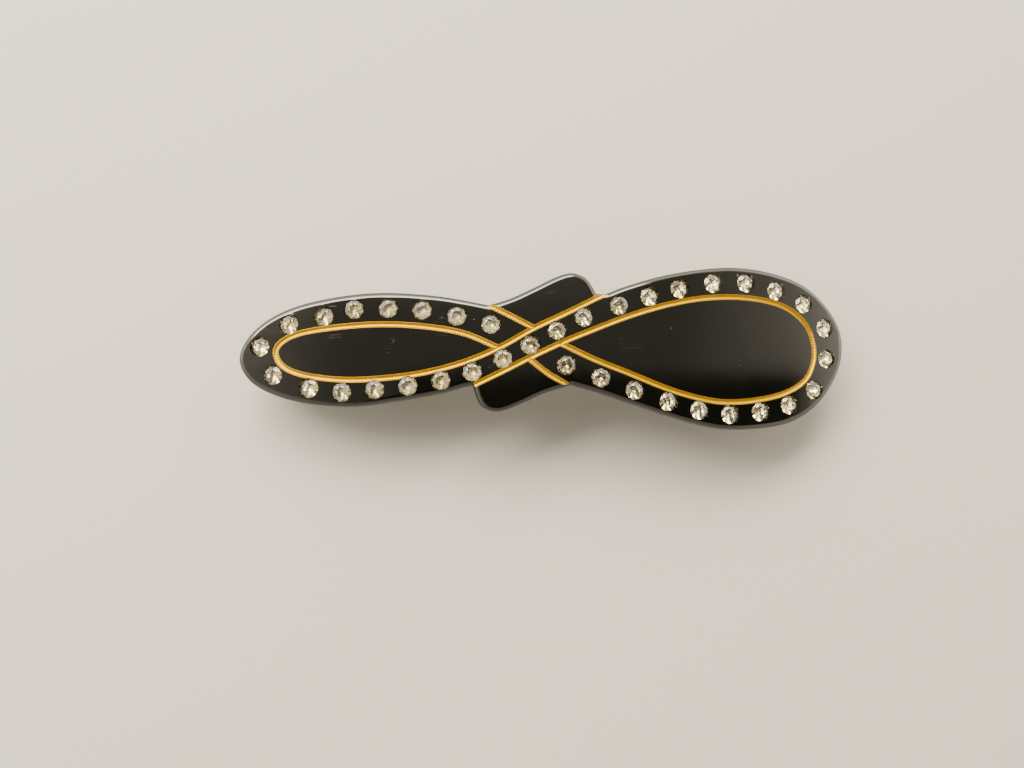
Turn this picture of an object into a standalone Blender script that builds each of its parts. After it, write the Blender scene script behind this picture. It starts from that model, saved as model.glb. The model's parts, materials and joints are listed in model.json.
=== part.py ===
"""Barrette: an arched acetate plate with engraved gold lines and set stones, on a sprung hair clip.

Metres, +Z up. The barrette lies face up on z = 0, with its length along X, the hinge at +X and the latch at -X.
Places on the face are given as (along, across): along is measured round the arch from its crown.
"""

import math

import bmesh
import bpy
from mathutils import Matrix, Vector

MM = 0.001

ROUND_SIDES = 12  # sides of every turned piece

# The arched plate.
FACE_RADIUS = 250 * MM  # the face is bent round this radius
FACE_CROWN = 14.2 * MM  # height of the face's highest line above the table
PLATE_THICKNESS = 3.0 * MM
EDGE_ROUND = 1.0 * MM
EDGE_SEGMENTS = 2
ARCH_STEP = 8.0 * MM  # length of each flat facet along the arch
CROSSING = -4.3 * MM  # the ribbon crosses itself this far along, left of the crown

# The stones and their pockets.
STONE_RADIUS = 1.55 * MM
FIT_GAP = 0.05 * MM
STONE_TABLE = 0.90 * MM
STONE_PROUD = 0.20 * MM
CROWN_DEPTH = 0.55 * MM
GIRDLE_DEPTH = 0.10 * MM
PAVILION_DEPTH = 1.20 * MM
STONE_POINT = 0.15 * MM

# The engraved lines.
GROOVE_WIDTH = 0.92 * MM
GROOVE_DEPTH = 0.38 * MM
GOLD_BELOW_FACE = 0.05 * MM  # the face is wiped while the paint is wet, so the paint sinks a little
GOLD_MEET_GAP = 1.35 * MM  # where one line meets another, it ends this far from the other's middle
GOLD_END_GAP = 1.3 * MM  # the gold stops this far inside the plate's outline
GROOVE_RUN_OUT = 2.5 * MM  # and its groove's cutter goes this far outside

# The clip's base bar, with the two ears that hold the hinge pin.
STRIP_THICKNESS = 0.6 * MM
BASE_HALF_WIDTH = 3.5 * MM
BASE_REACH = 40.5 * MM  # along the arch, each way
BASE_GAP = 0.1 * MM  # between the plate and the base bar
HINGE = Vector((38.0 * MM, 0.0, 1.75 * MM))
PIN_RADIUS = 0.60 * MM
PIN_HEAD_RADIUS = 0.95 * MM
PIN_HEAD_REACH = 0.4 * MM  # how far a head stands out from its ear
EAR_THICKNESS = 0.6 * MM
EAR_FOOT = 1.1 * MM  # half of the length of an ear's lower end
EAR_SHOULDER = 1.2 * MM  # height at which an ear begins to narrow
EAR_FRONT = 1.6 * MM  # from the hinge to an ear's front edge
EAR_BACK = 0.7 * MM  # from an ear's back edge to the base bar's end

# The loop under the base bar that keeps the tension bar's tongue.
BOW_PIVOT = Vector((31.0 * MM, 0.0, 8.25 * MM))
KEEPER_GAP = 0.56 * MM  # height of its opening
KEEPER_WIDTH = 3.1 * MM  # width of its opening
KEEPER_STEEL = 0.35 * MM
KEEPER_LENGTH = 2.4 * MM

# The pins that fix the base bar in the plate, and the rivet that fixes the latch to the base bar.
FIXING = 20.0 * MM  # along the arch, each way
FIXING_RADIUS = 0.60 * MM
FIXING_DEPTH = 2.3 * MM  # above the base bar's underside
FIXING_HEAD_RADIUS = 1.15 * MM
FIXING_HEAD_DEPTH = 0.40 * MM
RIVET = -34.2 * MM  # along the arch
RIVET_RADIUS = 0.60 * MM
RIVET_HEAD_RADIUS = 1.0 * MM
RIVET_HEAD_DEPTH = 0.30 * MM

# The arm.
ARM_THICKNESS = 0.5 * MM
ARM_RISE = 1.4 * MM  # how much the arm arches between its ends
ARM_HALF_WIDTH = 3.0 * MM
KNUCKLE_RADIUS = 0.90 * MM  # to the middle of the rolled strip
KNUCKLE_HALF_WIDTH = 2.65 * MM
PADDLE_HALF_WIDTH = 4.2 * MM  # round the latch window
LIP_HALF_WIDTH = 2.4 * MM
WINDOW = -36.7 * MM  # middle of the latch window
WINDOW_LENGTH = 4.7 * MM
WINDOW_WIDTH = 5.5 * MM

# The tension bar.
BOW_THICKNESS = 0.4 * MM
BOW_HALF_WIDTH = 2.2 * MM
TONGUE_HALF_WIDTH = 1.3 * MM
TONGUE_START = 29.0 * MM
FREE_END_HALF_WIDTH = 1.4 * MM
FREE_END_START = -24.0 * MM

# The latch.
LATCH = -38.0 * MM  # along the arch
LATCH_THICKNESS = 0.4 * MM
LATCH_HALF_LENGTH = 1.7 * MM
LATCH_FOOT_HALF_WIDTH = 1.9 * MM
LATCH_FOOT_END = -32.6 * MM  # along the arch
WING_PIVOT = (1.65 * MM, -0.55 * MM)  # (across, below the base bar) of a wing's bend

# The ribbon's middle line, from the crossing: (along, across, stone spaces to the next point), in millimetres.
RIBBON = [
    (-6.1, 3.15, 2), (-17.1, 5.4, 2), (-28.1, 5.5, 1), (-33.0, 4.4, 1), (-38.7, 3.1, 1), (-43.5, -0.4, 1),
    (-41.2, -5.0, 1), (-35.2, -7.1, 1), (-29.9, -7.8, 3), (-14.1, -5.95, 2), (-4.2, -2.4, 3), (9.0, 4.45, 1),
    (14.8, 6.4, 2), (25.1, 9.5, 2), (36.9, 10.9, 2), (47.7, 7.8, 1), (51.7, 3.8, 1), (51.9, -1.5, 1),
    (49.3, -6.9, 1), (44.4, -9.5, 2), (33.5, -11.15, 2), (22.9, -9.15, 3), (6.1, -3.4, 0),
]  # fmt: skip

# The plate's outline, from the crossing, in four smooth runs that meet at corners, in millimetres.
LEFT_LOBE = [
    (-9.0, -6.7), (-10.6, -7.0), (-14.2, -8.0), (-21.0, -9.2), (-28.0, -10.1), (-35.0, -9.7), (-40.9, -8.3),
    (-45.3, -5.9), (-47.2, -2.3), (-45.4, 1.7), (-40.9, 5.0), (-34.4, 7.1), (-25.0, 8.3), (-15.0, 7.8), (-6.4, 6.3),
]  # fmt: skip
TOP_EAR = [
    (-6.4, 6.3), (-2.8, 7.5), (0.6, 9.1), (4.4, 11.0), (6.8, 11.75), (8.5, 11.45), (9.7, 10.7), (10.5, 9.6),
    (11.1, 8.4),
]  # fmt: skip
RIGHT_LOBE = [
    (11.1, 8.4), (12.8, 8.5), (16.0, 9.75), (22.0, 11.6), (28.9, 13.0), (35.5, 13.6), (42.0, 13.0), (48.0, 11.2),
    (52.5, 7.8), (55.2, 3.6), (55.45, -1.0), (53.6, -5.4), (50.1, -9.5), (45.5, -12.25), (39.6, -13.45),
    (32.5, -13.6), (25.5, -12.2), (18.0, -9.9), (12.0, -7.9), (7.0, -6.5),
]  # fmt: skip
BOTTOM_EAR = [(7.0, -6.5), (2.6, -7.9), (-1.6, -9.8), (-5.0, -10.9), (-7.7, -9.9), (-9.0, -6.7)]

# The engraved lines, from the crossing, in millimetres, each from where it runs out over the plate's edge. The
# first two loop round and meet themselves. The other two meet one of those.
LEFT_LOOP_LINE = [
    (11.9, 8.0), (6.3, 5.15), (0.8, 2.5), (-4.5, -0.5), (-10.2, -2.95), (-16.7, -4.7), (-23.3, -5.6),
    (-30.0, -5.8), (-36.3, -4.95), (-39.6, -3.5), (-40.75, -1.4), (-39.7, 0.4), (-36.4, 1.8), (-30.0, 2.7),
    (-23.4, 3.05), (-16.8, 2.7), (-10.4, 1.6), (-4.9, -0.7),
]  # fmt: skip
RIGHT_LOOP_LINE = [
    (-9.4, -7.0), (-3.7, -4.2), (0.2, -2.2), (5.5, 0.3), (9.5, 2.0), (16.35, 4.7), (23.35, 6.85),
    (30.4, 8.15), (37.7, 8.3), (43.85, 7.15), (47.85, 4.4), (49.35, 0.95), (49.2, -2.3), (47.4, -5.4),
    (43.4, -7.6), (38.0, -8.8), (32.9, -9.15), (28.65, -8.65), (23.0, -7.15), (16.15, -4.55), (10.4, -2.35),
    (5.15, 0.1),
]  # fmt: skip
UPPER_BAND_LINE = [(-7.2, 6.6), (-3.2, 4.6), (0.9, 2.5)]
LOWER_BAND_LINE = [(6.9, -6.9), (3.35, -4.95), (-0.1, -2.3)]


# Collections, materials and objects.


def new_collection(name):
    collection = bpy.data.collections.new(name)
    bpy.context.scene.collection.children.link(collection)
    return collection


def new_material(name, colour, roughness, metallic):
    material = bpy.data.materials.new(name)
    material.use_nodes = True
    shader = material.node_tree.nodes["Principled BSDF"]
    shader.inputs["Base Color"].default_value = (*colour, 1.0)
    shader.inputs["Roughness"].default_value = roughness
    shader.inputs["Metallic"].default_value = metallic
    return material


def add_piece(name, mesh, material):
    piece = bpy.data.objects.new(name, mesh)
    barrette.objects.link(piece)
    if not mesh.materials:
        mesh.materials.append(material)
    return piece


def add_helper(name, mesh):
    """A cutter, or a shape that is joined to a piece. It is no part of the object itself."""
    helper = bpy.data.objects.new(name, mesh)
    helpers.objects.link(helper)
    helper.hide_render = True
    helper.display_type = "WIRE"
    return helper


def combine(piece, operation, *others):
    for other in others:
        boolean = piece.modifiers.new(operation.lower(), "BOOLEAN")
        boolean.operation = operation
        boolean.object = other
        boolean.solver = "EXACT"


def set_origin(piece, point):
    piece.data.transform(Matrix.Translation(-point))
    piece.location = point


def finished_mesh(obj):
    """The mesh that obj's modifiers or curve settings make, welded, with obj removed."""
    bpy.context.view_layer.update()
    graph = bpy.context.evaluated_depsgraph_get()
    mesh = bpy.data.meshes.new_from_object(obj.evaluated_get(graph))
    mesh.transform(obj.matrix_world)
    bpy.data.objects.remove(obj)
    shape = bmesh.new()
    shape.from_mesh(mesh)
    bmesh.ops.remove_doubles(shape, verts=shape.verts, dist=0.001 * MM)
    bmesh.ops.recalc_face_normals(shape, faces=shape.faces)
    shape.to_mesh(mesh)
    shape.free()
    return mesh


# The arch.


def on_arch(along, across, height):
    """The point of the arch at (along, across), at a height above its face."""
    angle = along / FACE_RADIUS
    reach = FACE_RADIUS + height
    return Vector((reach * math.sin(angle), across, FACE_CROWN - FACE_RADIUS + reach * math.cos(angle)))


def arch_frame(along, across, height):
    """The matrix that stands a shape on the arch, with its Z square to the face."""
    turn = Matrix.Rotation(along / FACE_RADIUS, 4, "Y")
    return Matrix.Translation(on_arch(along, across, height)) @ turn


def bend_to_arch(mesh):
    """Takes each point of the mesh as (along, across, height)."""
    for vertex in mesh.vertices:
        vertex.co = on_arch(*vertex.co)


# Paths.


def smooth_run(points, steps):
    """A smooth curve through the points, with the given number of steps between each two."""
    run = []
    last = len(points) - 1
    for i in range(last):
        before, start = Vector(points[max(i - 1, 0)]), Vector(points[i])
        end, after = Vector(points[i + 1]), Vector(points[min(i + 2, last)])
        for step in range(steps):
            t = step / steps
            run.append(
                start
                + (end - before) * (t / 2)
                + (2 * before - 5 * start + 4 * end - after) * (t * t / 2)
                + (3 * start - before - 3 * end + after) * (t**3 / 2)
            )
    run.append(Vector(points[last]))
    return run


def evenly(run, spaces):
    """Points that divide the run into equal spaces, without its last point."""
    lengths = [(b - a).length for a, b in zip(run, run[1:])]
    step = sum(lengths) / spaces
    found, travelled, i = [], 0.0, 0
    for n in range(spaces):
        while travelled + lengths[i] < n * step:
            travelled += lengths[i]
            i += 1
        found.append(run[i].lerp(run[i + 1], (n * step - travelled) / lengths[i]))
    return found


def extended(run, length):
    """The run with a straight length added before its start."""
    return [run[0] + (run[0] - run[1]).normalized() * length] + run


def trimmed(run, at_start, at_end):
    """The run without a length at each of its ends."""
    for cut, turned_round in ((at_start, False), (at_end, True)):
        run = run[::-1] if turned_round else run
        while cut > (run[1] - run[0]).length:
            cut -= (run[1] - run[0]).length
            run = run[1:]
        run = [run[0] + (run[1] - run[0]).normalized() * cut] + run[1:]
        run = run[::-1] if turned_round else run
    return run


def from_crossing(points):
    """(along, across) in metres from points given in millimetres from the crossing."""
    return [(x * MM + CROSSING, y * MM) for x, y in points]


# Shapes.


def turned_mesh(name, profile, sides):
    """A profile of (radius, height) points, top to bottom, turned about Z."""
    shape = bmesh.new()
    corners = [shape.verts.new((radius, 0.0, height)) for radius, height in profile]
    for a, b in zip(corners, corners[1:]):
        shape.edges.new((a, b))
    mesh = bpy.data.meshes.new(name)
    shape.to_mesh(mesh)
    shape.free()
    blank = add_helper(name + "_profile", mesh)
    screw = blank.modifiers.new("turn", "SCREW")
    screw.steps = screw.render_steps = sides
    screw.use_merge_vertices = True
    screw.merge_threshold = 0.001 * MM
    screw.use_smooth_shade = False
    return finished_mesh(blank)


def outline_mesh(name, points, thickness):
    """A flat closed outline in XY, given the thickness about z = 0."""
    curve = bpy.data.curves.new(name, "CURVE")
    curve.dimensions = "2D"
    curve.fill_mode = "BOTH"
    curve.extrude = thickness / 2
    spline = curve.splines.new("POLY")
    spline.points.add(len(points) - 1)
    for point, (x, y) in zip(spline.points, points):
        point.co = (x, y, 0.0, 1.0)
    spline.use_cyclic_u = True
    mesh = finished_mesh(add_helper(name + "_outline", curve))
    shape = bmesh.new()
    shape.from_mesh(mesh)
    bmesh.ops.dissolve_limit(shape, angle_limit=math.radians(0.5), verts=shape.verts, edges=shape.edges)
    shape.to_mesh(mesh)
    shape.free()
    return mesh


def strip_mesh(name, profile, thickness):
    """Sheet metal that follows a profile of (x, z, half width) points."""
    shape = bmesh.new()
    near = [shape.verts.new((x, -half, z)) for x, z, half in profile]
    edges = [shape.edges.new(pair) for pair in zip(near, near[1:])]
    swept = bmesh.ops.extrude_edge_only(shape, edges=edges)["geom"]
    for vertex in swept:
        if isinstance(vertex, bmesh.types.BMVert):
            vertex.co.y = -vertex.co.y
    mesh = bpy.data.meshes.new(name)
    shape.to_mesh(mesh)
    shape.free()
    blank = add_helper(name + "_strip", mesh)
    solid = blank.modifiers.new("thickness", "SOLIDIFY")
    solid.thickness = thickness
    solid.offset = 0.0
    solid.use_even_offset = True
    return finished_mesh(blank)


def wall_mesh(name, run, width, low, high):
    """A thin wall that stands on a run of (along, across) points, from one height above the face to another."""
    shape = bmesh.new()
    foot = [shape.verts.new((along, across, low)) for along, across in run]
    edges = [shape.edges.new(pair) for pair in zip(foot, foot[1:])]
    risen = bmesh.ops.extrude_edge_only(shape, edges=edges)["geom"]
    for vertex in risen:
        if isinstance(vertex, bmesh.types.BMVert):
            vertex.co.z = high
    mesh = bpy.data.meshes.new(name)
    shape.to_mesh(mesh)
    shape.free()
    blank = add_helper(name + "_wall", mesh)
    solid = blank.modifiers.new("width", "SOLIDIFY")
    solid.thickness = width
    solid.offset = 0.0
    solid.use_even_offset = True
    mesh = finished_mesh(blank)
    bend_to_arch(mesh)
    return mesh


def cylinder_mesh(name, radius, low, high, sides=ROUND_SIDES):
    return turned_mesh(name, [(0.0, high), (radius, high), (radius, low), (0.0, low)], sides)


def box_mesh(name, size, matrix):
    shape = bmesh.new()
    bmesh.ops.create_cube(shape, size=1.0)
    bmesh.ops.scale(shape, vec=size, verts=shape.verts)
    bmesh.ops.transform(shape, matrix=matrix, verts=shape.verts)
    mesh = bpy.data.meshes.new(name)
    shape.to_mesh(mesh)
    shape.free()
    return mesh


def copies_mesh(name, mesh, matrices):
    """One mesh that holds a copy of another at each matrix."""
    shape = bmesh.new()
    for matrix in matrices:
        shape.from_mesh(mesh)
        bmesh.ops.transform(shape, matrix=matrix, verts=shape.verts[-len(mesh.vertices) :])
    joined = bpy.data.meshes.new(name)
    shape.to_mesh(joined)
    shape.free()
    return joined


# The face: plate, engraved lines and stones.


def stone_places():
    """(along, across) of each stone, evenly spaced between the ribbon's points."""
    points = from_crossing([(x, y) for x, y, spaces in RIBBON])
    steps = 16
    run = smooth_run(points, steps)
    places = []
    for i, (_, _, spaces) in enumerate(RIBBON[:-1]):
        places += evenly(run[i * steps : (i + 1) * steps + 1], spaces)
    return places + [run[-1]]


def plate_mesh():
    outline = []
    for points in (LEFT_LOBE, TOP_EAR, RIGHT_LOBE, BOTTOM_EAR):
        outline += smooth_run(from_crossing(points), 3)[:-1]
    mesh = outline_mesh("plate", outline, PLATE_THICKNESS)
    mesh.transform(Matrix.Translation((0.0, 0.0, -PLATE_THICKNESS / 2)))
    shape = bmesh.new()
    shape.from_mesh(mesh)
    rim = [e for e in shape.edges if sorted(round(abs(f.normal.z)) for f in e.link_faces) == [0, 1]]
    bmesh.ops.bevel(
        shape, geom=rim, offset=EDGE_ROUND, segments=EDGE_SEGMENTS, profile=0.5, affect="EDGES", clamp_overlap=True
    )
    reach = max(vertex.co.x for vertex in shape.verts)
    for n in range(-int(reach / ARCH_STEP), int(reach / ARCH_STEP) + 1):
        everything = shape.verts[:] + shape.edges[:] + shape.faces[:]
        bmesh.ops.bisect_plane(shape, geom=everything, plane_co=(n * ARCH_STEP, 0.0, 0.0), plane_no=(1.0, 0.0, 0.0))
    bmesh.ops.triangulate(shape, faces=shape.faces)
    shape.to_mesh(mesh)
    shape.free()
    bend_to_arch(mesh)
    return mesh


def build_face():
    places = stone_places()
    girdle = STONE_PROUD - CROWN_DEPTH
    point = girdle - GIRDLE_DEPTH - PAVILION_DEPTH
    stone = turned_mesh(
        "stone",
        [
            (0.0, STONE_PROUD), (STONE_TABLE, STONE_PROUD), (STONE_RADIUS, girdle),
            (STONE_RADIUS, girdle - GIRDLE_DEPTH), (STONE_POINT, point), (0.0, point),
        ],
        ROUND_SIDES,
    )  # fmt: skip
    pocket_radius = STONE_RADIUS + FIT_GAP
    pocket = turned_mesh(
        "pocket",
        [
            (0.0, 2 * STONE_RADIUS), (pocket_radius, 2 * STONE_RADIUS),
            (pocket_radius, girdle - GIRDLE_DEPTH - FIT_GAP), (STONE_POINT, point - 2 * FIT_GAP),
            (0.0, point - 2 * FIT_GAP),
        ],
        ROUND_SIDES,
    )  # fmt: skip
    for n, (along, across) in enumerate(places, start=1):
        piece = add_piece(f"stone_{n:02d}", stone, glass)
        piece.matrix_world = arch_frame(along, across, 0.0)
    pockets = add_helper("pockets", copies_mesh("pockets", pocket, [arch_frame(x, y, 0.0) for x, y in places]))

    plate = add_piece("face_plate", plate_mesh(), acetate)
    combine(plate, "DIFFERENCE", pockets)
    lines = {
        "left_loop": LEFT_LOOP_LINE,
        "right_loop": RIGHT_LOOP_LINE,
        "upper_band": UPPER_BAND_LINE,
        "lower_band": LOWER_BAND_LINE,
    }
    for name, points in lines.items():
        run = smooth_run(from_crossing(points), 2)
        groove_run = trimmed(extended(run, GROOVE_RUN_OUT), 0.0, GOLD_MEET_GAP - FIT_GAP)
        groove = wall_mesh(name + "_groove", groove_run, GROOVE_WIDTH, -GROOVE_DEPTH, GROOVE_DEPTH)
        combine(plate, "DIFFERENCE", add_helper(name + "_groove", groove))
        gold_run = trimmed(run, GOLD_END_GAP, GOLD_MEET_GAP)
        floor = -GROOVE_DEPTH + FIT_GAP
        strip = wall_mesh(name, gold_run, GROOVE_WIDTH - 2 * FIT_GAP, floor, -GOLD_BELOW_FACE)
        combine(add_piece("gold_line_" + name, strip, gold), "DIFFERENCE", pockets)
    return plate


# The clip.


def base_height():
    """Height of the base bar's middle surface above the face."""
    return -PLATE_THICKNESS - BASE_GAP - STRIP_THICKNESS / 2


def build_base(plate):
    under = base_height() - STRIP_THICKNESS / 2
    count = 12
    profile = []
    for n in range(count + 1):
        along = BASE_REACH * (2 * n / count - 1)
        x, _, z = on_arch(along, 0.0, base_height())
        profile.append((x, z, BASE_HALF_WIDTH))
    bar = add_piece("base_bar", strip_mesh("base_bar", profile, STRIP_THICKNESS), steel)

    front, back = HINGE.x - EAR_FRONT, BASE_REACH - EAR_BACK
    top_front = on_arch(front, 0.0, base_height()).z
    top_back = on_arch(back, 0.0, base_height()).z
    ear_points = [
        (front, top_front), (front, EAR_SHOULDER), (HINGE.x - EAR_FOOT, 0.0), (HINGE.x + EAR_FOOT, 0.0),
        (back, EAR_SHOULDER), (back, top_back),
    ]  # fmt: skip
    ear = outline_mesh("ear", ear_points, EAR_THICKNESS)
    upright = Matrix.Rotation(math.pi / 2, 4, "X")
    for name, side in (("front_ear", -1), ("rear_ear", 1)):
        inward = side * (BASE_HALF_WIDTH - EAR_THICKNESS / 2)
        placed = ear.copy()
        placed.transform(Matrix.Translation((0.0, inward, 0.0)) @ upright)
        combine(bar, "UNION", add_helper(name, placed))

    # The keeper is the lower half of a square tube that ends inside the bar's own thickness.
    keeper_frame = arch_frame(BOW_PIVOT.x, 0.0, under)
    block_size = (KEEPER_LENGTH, KEEPER_WIDTH + 2 * KEEPER_STEEL, 2 * (KEEPER_GAP + KEEPER_STEEL))
    block = add_helper("keeper_block", box_mesh("keeper_block", block_size, keeper_frame))
    channel_size = (2 * KEEPER_LENGTH, KEEPER_WIDTH, 2 * KEEPER_GAP)
    channel = box_mesh("keeper_channel", channel_size, keeper_frame)
    combine(block, "DIFFERENCE", add_helper("keeper_channel", channel))
    loop = add_helper("keeper_loop", finished_mesh(block))
    above = 2 * KEEPER_LENGTH
    above_frame = keeper_frame @ Matrix.Translation((0.0, 0.0, (above + STRIP_THICKNESS) / 2))
    trim = box_mesh("keeper_trim", (above, above, above), above_frame)
    combine(loop, "DIFFERENCE", add_helper("keeper_trim", trim))
    combine(bar, "UNION", loop)

    past_ears = 1.5 * BASE_HALF_WIDTH
    pin_hole = cylinder_mesh("pin_hole", PIN_RADIUS + FIT_GAP, -past_ears, past_ears)
    pin_hole.transform(Matrix.Translation(HINGE) @ upright)
    combine(bar, "DIFFERENCE", add_helper("pin_hole", pin_hole))

    hole = cylinder_mesh("fixing_hole", FIXING_RADIUS + FIT_GAP, -FIXING_DEPTH, FIXING_DEPTH + 2 * FIT_GAP)
    pin = turned_mesh(
        "fixing_pin",
        [
            (0.0, FIXING_DEPTH), (FIXING_RADIUS, FIXING_DEPTH), (FIXING_RADIUS, -FIT_GAP),
            (FIXING_HEAD_RADIUS, -FIT_GAP), (0.7 * FIXING_HEAD_RADIUS, -FIXING_HEAD_DEPTH),
            (0.0, -FIXING_HEAD_DEPTH),
        ],
        ROUND_SIDES,
    )  # fmt: skip
    for name, along in (("left", -FIXING), ("right", FIXING)):
        frame = arch_frame(along, 0.0, under)
        piece = add_piece("fixing_pin_" + name, pin, steel)
        piece.matrix_world = frame
        cutter = add_helper("fixing_hole_" + name, hole)
        cutter.matrix_world = frame
        combine(bar, "DIFFERENCE", cutter)
        combine(plate, "DIFFERENCE", cutter)
    return bar


def build_hinge_pin():
    outer = BASE_HALF_WIDTH + FIT_GAP
    end = BASE_HALF_WIDTH + PIN_HEAD_REACH
    crown = 0.6 * PIN_HEAD_RADIUS
    mesh = turned_mesh(
        "hinge_pin",
        [
            (0.0, end), (crown, end), (PIN_HEAD_RADIUS, outer), (PIN_RADIUS, outer),
            (PIN_RADIUS, -outer), (PIN_HEAD_RADIUS, -outer), (crown, -end), (0.0, -end),
        ],
        ROUND_SIDES,
    )  # fmt: skip
    pin = add_piece("hinge_pin", mesh, steel)
    pin.location = HINGE
    pin.rotation_euler = (math.pi / 2, 0.0, 0.0)


def arm_height(x):
    """Height of the middle of the arm's strip between its knuckle and its latch end."""
    return HINGE.z + KNUCKLE_RADIUS + ARM_RISE * (1 - (x / HINGE.x) ** 2)


def build_arm():
    profile = []
    for degrees in range(-200, 91, 29):
        angle = math.radians(degrees)
        x = HINGE.x + KNUCKLE_RADIUS * math.cos(angle)
        profile.append((x, HINGE.z + KNUCKLE_RADIUS * math.sin(angle), KNUCKLE_HALF_WIDTH))
    for x_mm, width in (
        (34.6, KNUCKLE_HALF_WIDTH), (32.5, ARM_HALF_WIDTH), (24, ARM_HALF_WIDTH), (16, ARM_HALF_WIDTH),
        (8, ARM_HALF_WIDTH), (0, ARM_HALF_WIDTH), (-8, ARM_HALF_WIDTH), (-16, ARM_HALF_WIDTH),
        (-24, ARM_HALF_WIDTH), (-31, ARM_HALF_WIDTH), (-33.4, PADDLE_HALF_WIDTH), (-40.4, PADDLE_HALF_WIDTH),
        (-42.2, ARM_HALF_WIDTH),
    ):  # fmt: skip
        profile.append((x_mm * MM, arm_height(x_mm * MM), width))
    # The end dips to the table and turns out into the lip that a nail lifts.
    sole = ARM_THICKNESS / 2
    profile.append((-43.7 * MM, 1.3 * MM, ARM_HALF_WIDTH))
    profile.append((-44.6 * MM, sole, ARM_HALF_WIDTH))
    profile.append((-46.0 * MM, sole, LIP_HALF_WIDTH))
    arm = add_piece("clasp_arm", strip_mesh("clasp_arm", profile, ARM_THICKNESS), steel)
    window_frame = Matrix.Translation((WINDOW, 0.0, arm_height(WINDOW)))
    window = box_mesh("window", (WINDOW_LENGTH, WINDOW_WIDTH, WINDOW_WIDTH), window_frame)
    combine(arm, "DIFFERENCE", add_helper("window", window))
    set_origin(arm, HINGE)


def build_tension_bar():
    points = [(33.0, 8.00), (29.6, 8.43), (24.5, 8.05), (12.0, 6.45), (-2.0, 5.75), (-16.0, 6.15), (-26.8, 7.0)]
    profile = []
    for x, z in smooth_run([(x * MM, z * MM) for x, z in points], 2):
        if x > TONGUE_START:
            width = TONGUE_HALF_WIDTH
        elif x > FREE_END_START:
            width = BOW_HALF_WIDTH
        else:
            width = FREE_END_HALF_WIDTH
        profile.append((x, z, width))
    bar = add_piece("tension_bar", strip_mesh("tension_bar", profile, BOW_THICKNESS), steel)
    set_origin(bar, BOW_PIVOT)


def wing_outline():
    """One wing across the clip, as (across, below the base bar), in millimetres: shelf, grip, leg and barb."""
    return [
        (1.60, -0.50), (2.70, -0.55), (5.15, -0.95), (5.25, -3.35), (2.60, -4.40), (2.55, -5.45), (3.15, -5.45),
        (2.40, -6.60), (2.00, -6.60), (2.10, -4.15), (4.80, -3.05), (4.75, -1.30), (2.60, -0.95), (1.60, -0.90),
    ]  # fmt: skip


def build_latch(bar):
    under = base_height() - STRIP_THICKNESS / 2
    frame = arch_frame(LATCH, 0.0, under)
    profile = []
    for along in (LATCH - LATCH_HALF_LENGTH, LATCH, LATCH + LATCH_HALF_LENGTH, LATCH_FOOT_END):
        x, _, z = on_arch(along, 0.0, under - FIT_GAP - LATCH_THICKNESS / 2)
        profile.append((x, z, LATCH_FOOT_HALF_WIDTH))
    foot = add_piece("latch_foot", strip_mesh("latch_foot", profile, LATCH_THICKNESS), steel)

    wing = outline_mesh("wing", [(y * MM, z * MM) for y, z in wing_outline()], 2 * LATCH_HALF_LENGTH)
    # The outline's X becomes Y, its Y becomes Z and its thickness lies along X.
    across = Matrix(((0, 0, 1, 0), (1, 0, 0, 0), (0, 1, 0, 0), (0, 0, 0, 1)))
    wing.transform(across)
    for name, side in (("front", -1), ("rear", 1)):
        placed = wing.copy()
        if side < 0:
            placed.transform(Matrix.Rotation(math.pi, 4, "Z"))
        placed.transform(frame)
        piece = add_piece("latch_wing_" + name, placed, steel)
        set_origin(piece, frame @ Vector((0.0, side * WING_PIVOT[0], WING_PIVOT[1])))

    foot_under = -FIT_GAP - LATCH_THICKNESS
    head_under = foot_under - RIVET_HEAD_DEPTH
    rivet_frame = arch_frame(RIVET, 0.0, under)
    rivet = turned_mesh(
        "latch_rivet",
        [
            (0.0, STRIP_THICKNESS), (RIVET_RADIUS, STRIP_THICKNESS), (RIVET_RADIUS, foot_under - FIT_GAP),
            (RIVET_HEAD_RADIUS, foot_under - FIT_GAP), (0.6 * RIVET_HEAD_RADIUS, head_under), (0.0, head_under),
        ],
        ROUND_SIDES,
    )  # fmt: skip
    piece = add_piece("latch_rivet", rivet, steel)
    piece.matrix_world = rivet_frame
    reach = 4 * STRIP_THICKNESS
    hole = add_helper("rivet_hole", cylinder_mesh("rivet_hole", RIVET_RADIUS + FIT_GAP, -reach, reach))
    hole.matrix_world = rivet_frame
    combine(foot, "DIFFERENCE", hole)
    combine(bar, "DIFFERENCE", hole)


for old in list(bpy.data.objects):
    bpy.data.objects.remove(old)

barrette = new_collection("barrette")
helpers = new_collection("helpers")
acetate = new_material("black_cellulose_acetate", (0.004, 0.004, 0.004), 0.12, 0.0)
gold = new_material("gold_line_paint", (0.72, 0.46, 0.14), 0.35, 1.0)
glass = new_material("foiled_clear_glass", (0.82, 0.82, 0.78), 0.05, 0.6)
steel = new_material("nickel_plated_steel", (0.62, 0.60, 0.57), 0.25, 1.0)

plate = build_face()
bar = build_base(plate)
build_hinge_pin()
build_arm()
build_tension_bar()
build_latch(bar)
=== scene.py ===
# %% [markdown]
# # A barrette with engraved gold lines and set stones
# The real thing is a plate of black cellulose acetate, cut to a looped ribbon, engraved, filled with gold
# paint and set with foiled glass stones, on a spring clip of nickel-plated steel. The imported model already
# has every piece in its place, so this lesson makes the fine surfaces around it, one piece at a time.
# Lengths are in metres. Places on the face are (along, across): along is measured round the arch from its
# crown.

# %% Load the frame
import json
import math
import random

import bmesh
import bpy
from mathutils import Matrix, Vector
from mathutils.kdtree import KDTree


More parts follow.
